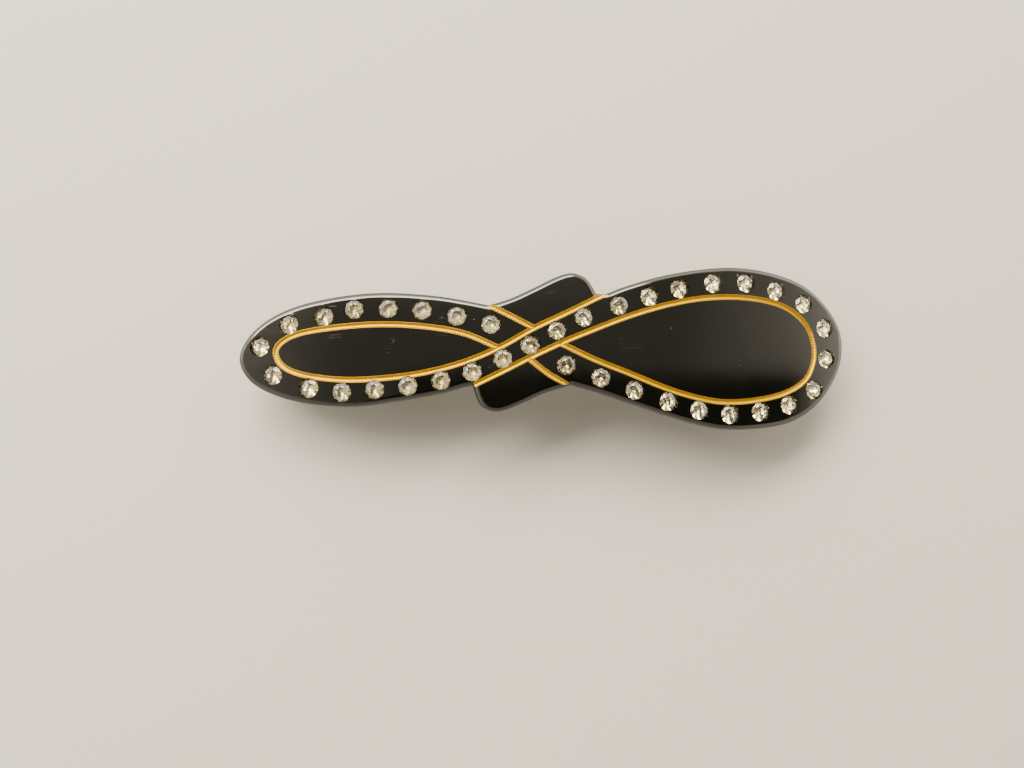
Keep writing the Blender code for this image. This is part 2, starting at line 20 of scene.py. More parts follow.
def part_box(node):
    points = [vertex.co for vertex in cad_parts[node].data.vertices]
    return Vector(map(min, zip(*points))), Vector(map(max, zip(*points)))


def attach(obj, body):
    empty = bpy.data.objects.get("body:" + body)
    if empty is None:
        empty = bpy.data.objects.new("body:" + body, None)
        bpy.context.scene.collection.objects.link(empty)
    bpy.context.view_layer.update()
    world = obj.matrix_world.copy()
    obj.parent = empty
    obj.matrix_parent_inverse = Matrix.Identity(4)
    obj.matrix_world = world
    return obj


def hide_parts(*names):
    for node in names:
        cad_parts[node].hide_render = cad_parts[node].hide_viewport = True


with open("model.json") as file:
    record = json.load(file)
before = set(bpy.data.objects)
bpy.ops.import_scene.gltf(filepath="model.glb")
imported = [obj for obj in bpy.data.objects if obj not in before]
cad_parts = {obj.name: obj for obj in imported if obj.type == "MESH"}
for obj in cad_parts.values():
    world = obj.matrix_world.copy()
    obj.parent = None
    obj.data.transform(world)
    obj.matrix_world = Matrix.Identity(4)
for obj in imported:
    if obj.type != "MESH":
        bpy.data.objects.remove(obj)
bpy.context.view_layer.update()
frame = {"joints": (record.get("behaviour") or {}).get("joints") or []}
MM = 0.001

# %% [markdown]
# ## Sizes
# The face is a strip of a round arch. Its crown is the highest line of the plate, which the frame gives. A
# place on the face turns into a point in space by walking round that arch.

# %% The arch and the sizes of the face
FACE_RADIUS = 250 * MM
FACE_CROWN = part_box("face_plate")[1].z
PLATE_THICKNESS = 3.0 * MM
EDGE_ROUND = 1.0 * MM
CROSSING = -4.3 * MM  # the ribbon crosses itself this far along
STONE_RADIUS = 1.55 * MM
GROOVE_WIDTH = 0.92 * MM
GROOVE_DEPTH = 0.38 * MM


def on_arch(along, across, height):
    """The point over a place on the face, at that height above it."""
    angle = along / FACE_RADIUS
    reach = FACE_RADIUS + height
    return Vector((reach * math.sin(angle), across, FACE_CROWN - FACE_RADIUS + reach * math.cos(angle)))


def arch_frame(along, across, height):
    """The matrix that stands a shape on the arch, with its Z square to the face."""
    return Matrix.Translation(on_arch(along, across, height)) @ Matrix.Rotation(along / FACE_RADIUS, 4, "Y")


print("crown at", round(FACE_CROWN / MM, 2), "mm")

# %% [markdown]
# ## The drawing
# A maker draws the face flat: the outline, the ribbon's middle line and the engraved lines. A few points
# carry each line, and a smooth curve runs through them, as with a bent batten. They are in millimetres from
# the crossing.

# %% The outline, in four runs that meet at corners
LEFT_LOBE = [
    (-9.0, -6.7), (-10.6, -7.0), (-14.2, -8.0), (-21.0, -9.2), (-28.0, -10.1), (-35.0, -9.7), (-40.9, -8.3),
    (-45.3, -5.9), (-47.2, -2.3), (-45.4, 1.7), (-40.9, 5.0), (-34.4, 7.1), (-25.0, 8.3), (-15.0, 7.8),
    (-6.4, 6.3),
]
TOP_EAR = [
    (-6.4, 6.3), (-2.8, 7.5), (0.6, 9.1), (4.4, 11.0), (6.8, 11.75), (8.5, 11.45), (9.7, 10.7), (10.5, 9.6),
    (11.1, 8.4),
]
RIGHT_LOBE = [
    (11.1, 8.4), (12.8, 8.5), (16.0, 9.75), (22.0, 11.6), (28.9, 13.0), (35.5, 13.6), (42.0, 13.0),
    (48.0, 11.2), (52.5, 7.8), (55.2, 3.6), (55.45, -1.0), (53.6, -5.4), (50.1, -9.5), (45.5, -12.25),
    (39.6, -13.45), (32.5, -13.6), (25.5, -12.2), (18.0, -9.9), (12.0, -7.9), (7.0, -6.5),
]
BOTTOM_EAR = [(7.0, -6.5), (2.6, -7.9), (-1.6, -9.8), (-5.0, -10.9), (-7.7, -9.9), (-9.0, -6.7)]

# %% The ribbon's middle line: (along, across, stone spaces to the next point)
RIBBON = [
    (-6.1, 3.15, 2), (-17.1, 5.4, 2), (-28.1, 5.5, 1), (-33.0, 4.4, 1), (-38.7, 3.1, 1), (-43.5, -0.4, 1),
    (-41.2, -5.0, 1), (-35.2, -7.1, 1), (-29.9, -7.8, 3), (-14.1, -5.95, 2), (-4.2, -2.4, 3), (9.0, 4.45, 1),
    (14.8, 6.4, 2), (25.1, 9.5, 2), (36.9, 10.9, 2), (47.7, 7.8, 1), (51.7, 3.8, 1), (51.9, -1.5, 1),
    (49.3, -6.9, 1), (44.4, -9.5, 2), (33.5, -11.15, 2), (22.9, -9.15, 3), (6.1, -3.4, 0),
]

# %% The engraved lines, each from where it runs out over the plate's edge
LINES = {
    "left_loop": [
        (11.9, 8.0), (6.3, 5.15), (0.8, 2.5), (-4.5, -0.5), (-10.2, -2.95), (-16.7, -4.7), (-23.3, -5.6),
        (-30.0, -5.8), (-36.3, -4.95), (-39.6, -3.5), (-40.75, -1.4), (-39.7, 0.4), (-36.4, 1.8),
        (-30.0, 2.7), (-23.4, 3.05), (-16.8, 2.7), (-10.4, 1.6), (-4.9, -0.7),
    ],
    "right_loop": [
        (-9.4, -7.0), (-3.7, -4.2), (0.2, -2.2), (5.5, 0.3), (9.5, 2.0), (16.35, 4.7), (23.35, 6.85),
        (30.4, 8.15), (37.7, 8.3), (43.85, 7.15), (47.85, 4.4), (49.35, 0.95), (49.2, -2.3), (47.4, -5.4),
        (43.4, -7.6), (38.0, -8.8), (32.9, -9.15), (28.65, -8.65), (23.0, -7.15), (16.15, -4.55),
        (10.4, -2.35), (5.15, 0.1),
    ],
    "upper_band": [(-7.2, 6.6), (-3.2, 4.6), (0.9, 2.5)],
    "lower_band": [(6.9, -6.9), (3.35, -4.95), (-0.1, -2.3)],
}


def curve_through(points, steps):
    """A smooth curve through the points, with that many steps between each two."""
    run = []
    last = len(points) - 1
    for i in range(last):
        before, here, there, after = points[max(i - 1, 0)], points[i], points[i + 1], points[min(i + 2, last)]
        for step in range(steps):
            t = step / steps
            run.append(
                here
                + (there - before) * (t / 2)
                + (2 * before - 5 * here + 4 * there - after) * (t * t / 2)
                + (3 * here - before - 3 * there + after) * (t**3 / 2)
            )
    return run + [points[last]]


def smooth_run(points, steps):
    """A smooth curve on the face through points in millimetres from the crossing."""
    return curve_through([Vector((x * MM + CROSSING, y * MM)) for x, y in points], steps)


print("engraved lines:", {name: len(points) for name, points in LINES.items()})

# %% [markdown]
# ## The camera
# It looks almost straight down, a little over a hand's width above the face, like someone who holds a phone
# over a table. A short lens from so near makes the near part of the arch look larger than its ends.

# %% Place the camera over the crossing
LENS = 27.04  # in millimetres, for a 36 mm wide sensor
CAMERA_OFFSET = Vector((-10.51, -15.79, 121.74)) * MM  # from the crossing: along, across and above the face
LOOK_ALONG = math.radians(-3.666)
LOOK_ACROSS = math.radians(4.356)

camera_data = bpy.data.cameras.new("camera")
camera_data.lens = LENS
camera_data.sensor_width = 36.0
camera_data.clip_start = 5 * MM
camera_data.clip_end = 10.0
camera = bpy.data.objects.new("camera", camera_data)
bpy.context.scene.collection.objects.link(camera)
camera_turn = Matrix.Rotation(LOOK_ALONG, 4, "Y") @ Matrix.Rotation(LOOK_ACROSS, 4, "X")
camera.matrix_world = arch_frame(CROSSING, 0.0, 0.0) @ Matrix.Translation(CAMERA_OFFSET) @ camera_turn
bpy.context.scene.camera = camera
print("camera at", [round(x / MM, 1) for x in camera.matrix_world.translation])

# %% [markdown]
# ## Two helpers for materials
# A colour is picked as a hex value, the way a colour picker shows it, but shaders work in linear light. A
# node tree is easier to read when each node is one line, with its settings and what feeds it.

# %% Colour and node helpers


def linear(hex_colour):
    """An sRGB hex colour as the linear RGBA that a shader takes."""
    channels = [int(hex_colour[i : i + 2], 16) / 255 for i in (1, 3, 5)]
    return tuple(c / 12.92 if c <= 0.04045 else ((c + 0.055) / 1.055) ** 2.4 for c in channels) + (1.0,)


def add_node(tree, kind, settings=None, **inputs):
    """Adds a node. An input takes a value or another node's output; its name is written with underscores."""
    node = tree.nodes.new(kind)
    for name, value in (settings or {}).items():
        setattr(node, name, value)
    for name, value in inputs.items():
        socket = node.inputs[int(name[1:])] if name[1:].isdigit() else node.inputs[name.replace("_", " ")]
        if isinstance(value, bpy.types.NodeSocket):
            tree.links.new(value, socket)
        else:
            socket.default_value = value
    return node


def new_material(name, **shader_values):
    """A material with a Principled shader, and the tree, shader and object coordinates to build on."""
    material = bpy.data.materials.new(name)
    material.use_nodes = True
    tree = material.node_tree
    shader = tree.nodes["Principled BSDF"]
    for socket, value in shader_values.items():
        shader.inputs[socket.replace("_", " ")].default_value = value
    place = add_node(tree, "ShaderNodeTexCoord").outputs["Object"]
    return material, tree, shader, place


print("half bright, #808080, is", round(linear("#808080")[0], 3), "in linear light")

# %% [markdown]
# ## Black cellulose acetate
# Combs and hair clips are sawn from acetate sheet and then polished on a buffing wheel. It looks almost
# black, with a warm cast, and the polish gives a wet-looking gloss with an index of about 1.49. Wear gives
# it two things: faint hairlines from cloth and dust, and a bloom of fingerprints that changes how sharp its
# reflections are.

# %% Make the acetate, with its fingerprints
SMUDGE_SIZE = 9.0 * MM

acetate, tree, shader, place = new_material("polished_black_acetate", IOR=1.49)
smudges = add_node(
    tree, "ShaderNodeTexNoise", Vector=place, Scale=1 / SMUDGE_SIZE, Detail=4.0, Distortion=0.8
)
gloss = add_node(tree, "ShaderNodeMapRange", _0=smudges.outputs["Fac"], _1=0.35, _2=0.75, _3=0.05, _4=0.12)
tree.links.new(gloss.outputs["Result"], shader.inputs["Roughness"])
print("acetate with smudges about", round(SMUDGE_SIZE / MM), "mm across")

# %% [markdown]
# The hairlines are the walls between long thin cells, turned two ways, and only patches of them show.

# %% Draw the hairlines
HAIRLINE_LENGTH = 18.0 * MM
HAIRLINE_WIDTH = 0.007  # as a share of a cell
PATCH_SIZE = 5 * MM

hairlines = []
for turn_degrees, stretch in ((24, 14.0), (-37, 11.0)):
    turn = (0.0, 0.0, math.radians(turn_degrees))
    turned = add_node(tree, "ShaderNodeMapping", Vector=place, Rotation=turn, Scale=(1.0, stretch, 1.0))
    cells = add_node(
        tree,
        "ShaderNodeTexVoronoi",
        {"feature": "DISTANCE_TO_EDGE"},
        Vector=turned.outputs["Vector"],
        Scale=1 / HAIRLINE_LENGTH,
    )
    wall = add_node(
        tree, "ShaderNodeMath", {"operation": "LESS_THAN"}, _0=cells.outputs["Distance"], _1=HAIRLINE_WIDTH
    )
    hairlines.append(wall.outputs["Value"])
either = add_node(tree, "ShaderNodeMath", {"operation": "MAXIMUM"}, _0=hairlines[0], _1=hairlines[1])
patches = add_node(tree, "ShaderNodeTexNoise", Vector=place, Scale=1 / PATCH_SIZE, Detail=1.0)
in_patch = add_node(tree, "ShaderNodeMath", {"operation": "GREATER_THAN"}, _0=patches.outputs["Fac"], _1=0.68)
scratch = add_node(
    tree,
    "ShaderNodeMath",
    {"operation": "MULTIPLY"},
    _0=either.outputs["Value"],
    _1=in_patch.outputs["Value"],
)
scratched = add_node(
    tree,
    "ShaderNodeMix",
    {"data_type": "RGBA"},
    _0=scratch.outputs["Value"],
    _6=linear("#040403"),
    _7=linear("#1d1b17"),
)
bump = add_node(tree, "ShaderNodeBump", Height=scratch.outputs["Value"], Strength=0.15, Distance=0.01 * MM)
tree.links.new(bump.outputs["Normal"], shader.inputs["Normal"])
print("hairlines run", len(hairlines), "ways")

# %% [markdown]
# Dust is a speck at the middle of some cells, of a size that the cell's own colour picks.

# %% Strew the dust
DUST_SPACING = 2.6 * MM
DUST_SIZE = 0.035  # as a share of a cell

specks = add_node(tree, "ShaderNodeTexVoronoi", Vector=place, Scale=1 / DUST_SPACING)
cell_number = add_node(tree, "ShaderNodeSeparateColor", Color=specks.outputs["Color"])
speck_size = add_node(
    tree, "ShaderNodeMapRange", _0=cell_number.outputs["Red"], _1=0.6, _2=1.0, _3=0.0, _4=DUST_SIZE
)
is_dust = add_node(
    tree,
    "ShaderNodeMath",
    {"operation": "LESS_THAN"},
    _0=specks.outputs["Distance"],
    _1=speck_size.outputs["Result"],
)
dusty = add_node(
    tree,
    "ShaderNodeMix",
    {"data_type": "RGBA"},
    _0=is_dust.outputs["Value"],
    _6=scratched.outputs[2],
    _7=linear("#a8a498"),
)
tree.links.new(dusty.outputs[2], shader.inputs["Base Color"])
print("acetate has", len(tree.nodes), "nodes")

# %% [markdown]
# ## Gold paint in the grooves
# The grooves are cut with a ball-nosed tool and filled with bronze powder in lacquer, and the face is wiped
# while it is wet. The paint keeps the tool's chatter as fine cross marks, and has lost a few small chips.
# Bronze powder is metal, but it lies in every direction, so its gloss is soft. Each gold piece carries an
# attribute, run, which is the distance along its line, and the chatter follows it.

# %% Make the gold paint, with the tool's chatter
CHATTER_PITCH = 0.42 * MM  # coarser than the real 0.2 mm, so that it shows
CHATTER_DEPTH = 0.03 * MM
CHATTER_WANDER = 0.25 * MM

gold, tree, shader, place = new_material("bronze_powder_paint", Roughness=0.44, Metallic=1.0)
run_along = add_node(tree, "ShaderNodeAttribute", {"attribute_name": "run"})
wobble = add_node(tree, "ShaderNodeTexNoise", Vector=place, Scale=1 / (0.9 * MM), Detail=2.0)
pushed = add_node(
    tree,
    "ShaderNodeMath",
    {"operation": "MULTIPLY_ADD"},
    _0=wobble.outputs["Fac"],
    _1=CHATTER_WANDER,
    _2=run_along.outputs["Fac"],
)
waves = 2 * math.pi / CHATTER_PITCH
phase = add_node(tree, "ShaderNodeMath", {"operation": "MULTIPLY"}, _0=pushed.outputs["Value"], _1=waves)
chatter = add_node(tree, "ShaderNodeMath", {"operation": "SINE"}, _0=phase.outputs["Value"])
bump = add_node(tree, "ShaderNodeBump", Height=chatter.outputs["Value"], Strength=0.6, Distance=CHATTER_DEPTH)
tree.links.new(bump.outputs["Normal"], shader.inputs["Normal"])
print("chatter every", round(CHATTER_PITCH / MM, 2), "mm")

# %% Tint the gold and chip it
CHIP_SPACING = 2.2 * MM
CHIP_SIZE = 0.07  # as a share of a cell

tint = add_node(tree, "ShaderNodeTexNoise", Vector=place, Scale=1 / (3 * MM), Detail=5.0, Roughness=0.7)
tone = add_node(
    tree,
    "ShaderNodeMix",
    {"data_type": "RGBA"},
    _0=tint.outputs["Fac"],
    _6=linear("#876806"),
    _7=linear("#ae870a"),
)
chips = add_node(tree, "ShaderNodeTexVoronoi", Vector=place, Scale=1 / CHIP_SPACING)
chip_number = add_node(tree, "ShaderNodeSeparateColor", Color=chips.outputs["Color"])
chip_size = add_node(
    tree, "ShaderNodeMapRange", _0=chip_number.outputs["Red"], _1=0.8, _2=1.0, _3=0.0, _4=CHIP_SIZE
)
is_chip = add_node(
    tree,
    "ShaderNodeMath",
    {"operation": "LESS_THAN"},
    _0=chips.outputs["Distance"],
    _1=chip_size.outputs["Result"],
)
chipped = add_node(
    tree,
    "ShaderNodeMix",
    {"data_type": "RGBA"},
    _0=is_chip.outputs["Value"],
    _6=tone.outputs[2],
    _7=linear("#1c150b"),
)
tree.links.new(chipped.outputs[2], shader.inputs["Base Color"])
print("gold has", len(tree.nodes), "nodes")

# %% [markdown]
# ## Foiled glass
# A chaton is a cut stone of lead glass, index about 1.56, with its back silvered and lacquered. Light goes
# in through the crown, turns on the foil and comes out again, which makes the bright and dark spokes. So
# the crown is clear glass and the back facets are a mirror. Old foil has gone a little yellow, in patches.

# %% Make the glass and the foil
glass, tree, shader, place = new_material(
    "clear_lead_glass", Base_Color=linear("#fbfaf4"), Roughness=0.0, IOR=1.56, Transmission_Weight=1.0
)
foil, tree, shader, place = new_material("aged_silver_foil", Roughness=0.12, Metallic=1.0)
ageing = add_node(tree, "ShaderNodeTexNoise", Vector=place, Scale=1 / (4 * MM), Detail=2.0)
aged = add_node(
    tree,
    "ShaderNodeMix",
    {"data_type": "RGBA"},
    _0=ageing.outputs["Fac"],
    _6=linear("#fdf9e8"),
    _7=linear("#ece0b8"),
)
tree.links.new(aged.outputs[2], shader.inputs["Base Color"])
print("made", glass.name, "and", foil.name)

# %% [markdown]
# ## Nickel-plated spring steel
# The clip is stamped from drawn strip and barrel-plated with nickel. The strip's rolling lines still show
# through the plating as fine streaks along it, and the metal is bright, a little warm, with a soft blur.

# %% Make the steel
ROLLING_LINE = 0.25 * MM  # coarser than the real lines, so that they show

steel, tree, shader, place = new_material("nickel_plated_steel", Metallic=1.0)
drawn_out = add_node(tree, "ShaderNodeMapping", Vector=place, Scale=(0.02, 1.0, 1.0))
streaks = add_node(
    tree, "ShaderNodeTexNoise", Vector=drawn_out.outputs["Vector"], Scale=1 / ROLLING_LINE, Detail=3.0
)
blur = add_node(tree, "ShaderNodeMapRange", _0=streaks.outputs["Fac"], _1=0.3, _2=0.7, _3=0.16, _4=0.30)
tree.links.new(blur.outputs["Result"], shader.inputs["Roughness"])
bloom = add_node(tree, "ShaderNodeTexNoise", Vector=place, Scale=1 / (6 * MM), Detail=4.0)
shade = add_node(
    tree,
    "ShaderNodeMix",
    {"data_type": "RGBA"},
    _0=bloom.outputs["Fac"],
    _6=linear("#b9b4aa"),
    _7=linear("#969086"),
)
tree.links.new(shade.outputs[2], shader.inputs["Base Color"])
bump = add_node(tree, "ShaderNodeBump", Height=streaks.outputs["Fac"], Strength=0.2, Distance=0.01 * MM)
tree.links.new(bump.outputs["Normal"], shader.inputs["Normal"])
print("rolling lines every", round(ROLLING_LINE / MM, 2), "mm")

# %% [markdown]
# ## Working by hand, in code
# An operator acts on what is selected. So each step starts with nothing selected, adds its primitive, and
# picks faces or edges by where they are. A modifier is applied as soon as it has done its work.

# %% Selecting and applying
HAIR = 0.0002 * MM  # points nearer than this are one point
MERGE = 0.001 * MM  # the least distance that the merge operator takes


def start():
    """Out of edit mode, with nothing selected."""
    if bpy.context.mode != "OBJECT":
        bpy.ops.object.mode_set(mode="OBJECT")
    bpy.ops.object.select_all(action="DESELECT")


def take(piece):
    """Makes the piece the one that operators act on."""
    start()
    piece.select_set(True)
    bpy.context.view_layer.objects.active = piece


def edit(piece, mode, wanted):
    """Goes into edit mode with only the wanted ones of the piece's VERT, EDGE or FACE parts selected."""
    take(piece)
    bpy.ops.object.mode_set(mode="EDIT")
    bpy.ops.mesh.select_mode(type=mode)
    bpy.ops.mesh.select_all(action="DESELECT")
    shape = bmesh.from_edit_mesh(piece.data)
    for part in {"VERT": shape.verts, "EDGE": shape.edges, "FACE": shape.faces}[mode]:
        if wanted(part):
            part.select_set(True)
    bmesh.update_edit_mesh(piece.data)


def apply(piece, kind, **settings):
    """Adds a modifier to the piece and applies it."""
    take(piece)
    modifier = piece.modifiers.new(kind.lower(), kind)
    for name, value in settings.items():
        setattr(modifier, name, value)
    bpy.ops.object.modifier_apply(modifier=modifier.name)


def cut(piece, other, operation="DIFFERENCE"):
    """Cuts the piece with the other, or joins or intersects them."""
    apply(piece, "BOOLEAN", operation=operation, object=other, solver="MANIFOLD")


def clean(piece):
    """Merges the points that several Booleans leave a hair apart, which is less than the operator can."""
    shape = bmesh.new()
    shape.from_mesh(piece.data)
    bmesh.ops.remove_doubles(shape, verts=shape.verts, dist=HAIR)
    shape.to_mesh(piece.data)
    shape.free()


def finish_piece(piece, name, material, body, slot, *nodes):
    """Names a piece, gives it its material unless that is None, and lets it ride in its nodes' place."""
    piece.name = piece.data.name = name
    if material:
        piece.data.materials.clear()
        piece.data.materials.append(material)
    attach(piece, body)
    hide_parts(*nodes)


print("a hair is", round(HAIR / MM * 1000, 2), "micrometres")

# %% [markdown]
# ## The blank
# The plate starts flat, as a blank sawn to the outline. A circle has the right number of points, and they
# are moved to the outline, then the sheet gets its thickness by an extrude, and its rims are rounded by a
# bevel, as tumbling rounds them. Cuts across it every millimetre give the later bend something to bend.

# %% Saw out the blank and round its rims
OUTLINE_STEPS = 8
FACET = 1.0 * MM
RIM_STEPS = 6

outline = []
for points in (LEFT_LOBE, TOP_EAR, RIGHT_LOBE, BOTTOM_EAR):
    outline += smooth_run(points, OUTLINE_STEPS)[:-1]


def slab(points, push):
    """A flat face through the points, pushed out to a solid."""
    start()
    bpy.ops.mesh.primitive_circle_add(vertices=len(points), radius=10 * MM, fill_type="NGON")
    piece = bpy.context.object
    for vertex, point in zip(piece.data.vertices, points):
        vertex.co = point
    edit(piece, "FACE", lambda face: True)
    bpy.ops.mesh.extrude_region_move(TRANSFORM_OT_translate={"value": push})
    bpy.ops.mesh.select_all(action="SELECT")
    bpy.ops.mesh.normals_make_consistent(inside=False)
    start()
    return piece


blank = slab([(point.x, point.y, -PLATE_THICKNESS) for point in outline], (0.0, 0.0, PLATE_THICKNESS))
blank.name = "blank"
edit(blank, "EDGE", lambda edge: abs(edge.verts[0].co.z - edge.verts[1].co.z) < 0.1 * PLATE_THICKNESS)
bpy.ops.mesh.bevel(offset=EDGE_ROUND, segments=RIM_STEPS, affect="EDGES", clamp_overlap=False)
reach = max(point.x for point in outline)
edit(blank, "FACE", lambda face: True)
for n in range(-int(reach / FACET), int(reach / FACET) + 1):
    bpy.ops.mesh.select_all(action="SELECT")
    bpy.ops.mesh.bisect(plane_co=(n * FACET, 0.0, 0.0), plane_no=(1.0, 0.0, 0.0))
start()
print("blank:", len(outline), "outline points,", len(blank.data.polygons), "faces")

# %% [markdown]
# ## The cutters
# A ball-nosed cutter leaves a groove with a round bottom, so each groove is cut by a tube: the path of that
# ball. Its radius follows from the groove's width and depth. Each line is cut in two lengths that overlap,
# so that a tube never runs through itself where a loop meets its own diagonal.

# %% Sweep the groove cutters
BALL_RADIUS = (GROOVE_WIDTH**2 / 4 + GROOVE_DEPTH**2) / (2 * GROOVE_DEPTH)
RUN_OUT = 3.0 * MM
PAINT_THICKNESS = 0.06 * MM
PAINT_GAP = 0.004 * MM
LINE_STEPS = 8
OVERLAP = 3  # points that the two lengths of a line share


def tube(run, radius):
    """A round tube whose lowest point is at the groove's depth for the ball's own radius."""
    data = bpy.data.curves.new("tube", "CURVE")
    data.dimensions = "3D"
    data.bevel_depth = radius
    data.bevel_resolution = 10
    data.use_fill_caps = True
    spline = data.splines.new("POLY")
    spline.points.add(len(run) - 1)
    for point, place in zip(spline.points, run):
        point.co = (place.x, place.y, BALL_RADIUS - GROOVE_DEPTH, 1.0)
    path = bpy.data.objects.new("tube", data)
    bpy.context.scene.collection.objects.link(path)
    take(path)
    bpy.ops.object.convert(target="MESH")
    edit(path, "VERT", lambda vertex: True)
    bpy.ops.mesh.remove_doubles(threshold=MERGE)
    bpy.ops.mesh.normals_make_consistent(inside=False)
    start()
    return path


def line_tube(name, radius):
    """The whole of one line as a tube, run out past the plate's edge."""
    run = smooth_run(LINES[name], LINE_STEPS)
    run = [run[0] + (run[0] - run[1]).normalized() * RUN_OUT] + run
    middle = len(run) // 2
    whole = tube(run[: middle + OVERLAP], radius)
    other = tube(run[middle:], radius)
    cut(whole, other, "UNION")
    bpy.data.objects.remove(other)
    return whole


groove_tubes = {name: line_tube(name, BALL_RADIUS) for name in LINES}
bore_tubes = {name: line_tube(name, BALL_RADIUS - PAINT_THICKNESS) for name in LINES}
print("ball radius", round(BALL_RADIUS / MM, 3), "mm")

# %% [markdown]
# ## The stones' places
# The stones stand at even distances on the ribbon's middle line between the points where the setter marked
# it.

# %% Space the stones along the ribbon
RIBBON_STEPS = 16


def evenly(run, spaces):
    """Points that divide the run into equal spaces, without its last point."""
    lengths = [(b - a).length for a, b in zip(run, run[1:])]
    found, travelled, i = [], 0.0, 0
    for n in range(spaces):
        wanted = n * sum(lengths) / spaces
        while travelled + lengths[i] < wanted:
            travelled += lengths[i]
            i += 1
        found.append(run[i].lerp(run[i + 1], (wanted - travelled) / lengths[i]))
    return found


middle_line = smooth_run([(x, y) for x, y, spaces in RIBBON], RIBBON_STEPS)
stone_places = []
for i, (x, y, spaces) in enumerate(RIBBON[:-1]):
    stone_places += evenly(middle_line[i * RIBBON_STEPS : (i + 1) * RIBBON_STEPS + 1], spaces)
stone_places.append(middle_line[-1])
print(len(stone_places), "stones")

# %% [markdown]
# ## The pockets
# A stepped drill makes each pocket: a straight wall, a little wider than the stone, and a cone for its
# back. One cutter is modelled from a cylinder whose foot is drawn to a point, then copied to each place and
# joined.

# %% Drill the pockets
POCKET_RADIUS = STONE_RADIUS + 0.04 * MM
POCKET_WALL = 0.52 * MM  # depth of the straight wall below the face
POCKET_POINT = 2.0 * MM  # depth of the cone's point
POCKET_SIDES = 40
DRILL_REACH = 1.55 * MM  # how far the cutter stands up from the face

start()
length = POCKET_WALL + DRILL_REACH
bpy.ops.mesh.primitive_cylinder_add(vertices=POCKET_SIDES, radius=POCKET_RADIUS, depth=length)
drill = bpy.context.object
drill.data.transform(Matrix.Translation((0.0, 0.0, (DRILL_REACH - POCKET_WALL) / 2)))
edit(drill, "FACE", lambda face: face.normal.z < -0.5)
bpy.ops.mesh.extrude_region_move(TRANSFORM_OT_translate={"value": (0.0, 0.0, POCKET_WALL - POCKET_POINT)})
bpy.ops.mesh.merge(type="CENTER")
start()

drills = []
for place in stone_places:
    copy = drill.copy()
    copy.data = drill.data.copy()
    copy.data.transform(Matrix.Translation((place.x, place.y, 0.0)))
    bpy.context.scene.collection.objects.link(copy)
    drills.append(copy)
take(drills[0])
for other in drills[1:]:
    other.select_set(True)
bpy.ops.object.join()
pockets = drills[0]
bpy.data.objects.remove(drill)
print("pocket cutter:", len(pockets.data.polygons), "faces")

# %% [markdown]
# ## Bending to the arch
# The maker warms the finished flat plate and presses it over a form. Here each point of the flat shape is a
# place on the face and a height, and it moves to that place on the arch. The same bend is used for the
# plate and the gold, so they still fit each other.

# %% Bend, and smooth


def bend(piece):
    """Moves each point of a flat shape to its place on the arch."""
    for vertex in piece.data.vertices:
        vertex.co = on_arch(*vertex.co)


def smooth(piece, degrees):
    """Shades a piece smooth, but for its sharper edges, and keeps its wide faces flat."""
    take(piece)
    bpy.ops.object.shade_smooth_by_angle(angle=math.radians(degrees))
    apply(piece, "WEIGHTED_NORMAL", keep_sharp=True, weight=80)


print("the arch turns", round(math.degrees(0.1 / FACE_RADIUS), 1), "degrees in 100 mm")

# %% [markdown]
# ## The gold lines
# The paint is a thin layer on the groove's floor. So a gold line is a tube a hair thinner than its groove,
# of which only what lies inside the blank is kept, and the bores, which are thinner by the paint, are cut
# out of it. The lines before it are cut out where they cross it, and so are the stones' pockets.

# %% Write each point's distance along its line


def write_run(piece, run):
    """Stores on each point how far along the run it lies, by the run's nearest point."""
    nearest = KDTree(len(run))
    for i, point in enumerate(run):
        nearest.insert(point.to_3d(), i)
    nearest.balance()
    travelled = [0.0]
    for a, b in zip(run, run[1:]):
        travelled.append(travelled[-1] + (b - a).length)
    along_line = piece.data.attributes.new("run", "FLOAT", "POINT")
    for vertex in piece.data.vertices:
        flat = Vector((vertex.co.x, vertex.co.y, 0.0))
        i = min(nearest.find(flat)[1], len(run) - 2)
        step = run[i + 1] - run[i]
        along_line.data[vertex.index].value = travelled[i] + (flat.to_2d() - run[i]).dot(step.normalized())


# %% Lay, drill and bend the gold lines
laid = []
for name in LINES:
    gold_line = line_tube(name, BALL_RADIUS - PAINT_GAP)
    cut(gold_line, blank, "INTERSECT")
    for bore in bore_tubes.values():
        cut(gold_line, bore)
    for earlier in laid:
        cut(gold_line, groove_tubes[earlier])
    cut(gold_line, pockets)
    clean(gold_line)
    laid.append(name)
    write_run(gold_line, smooth_run(LINES[name], LINE_STEPS))
    bend(gold_line)
    smooth(gold_line, 40)
    finish_piece(gold_line, "paint_" + name, gold, "face", "gold_paint", "gold_line_" + name)
    print(gold_line.name, len(gold_line.data.polygons), "faces")

# %% [markdown]
# ## The plate
# The blank gets its grooves, the stones' pockets and, from below, the two blind holes of the fixing pins. It
# is bent last, as all that is drawn on it is flat.

# %% Engrave, drill and bend the plate
TURNED_SIDES = 48
FIT_GAP = 0.05 * MM
FIXING = 20.0 * MM  # along the arch, each way
FIXING_RADIUS = 0.60 * MM
FIXING_BITE = 1.65 * MM  # depth of the blind hole from the plate's underside

plate = blank
for name in LINES:
    cut(plate, groove_tubes[name])
cut(plate, pockets)
for side in (-1, 1):
    start()
    bpy.ops.mesh.primitive_cylinder_add(
        vertices=TURNED_SIDES,
        radius=FIXING_RADIUS + FIT_GAP,
        depth=2 * FIXING_BITE,
        location=(side * FIXING, 0.0, -PLATE_THICKNESS),
    )
    blind_hole = bpy.context.object
    cut(plate, blind_hole)
    bpy.data.objects.remove(blind_hole)
clean(plate)
bend(plate)
smooth(plate, 30)
finish_piece(plate, "engraved_plate", acetate, "face", "black_acetate", "face_plate")
print("plate:", len(plate.data.polygons), "faces")

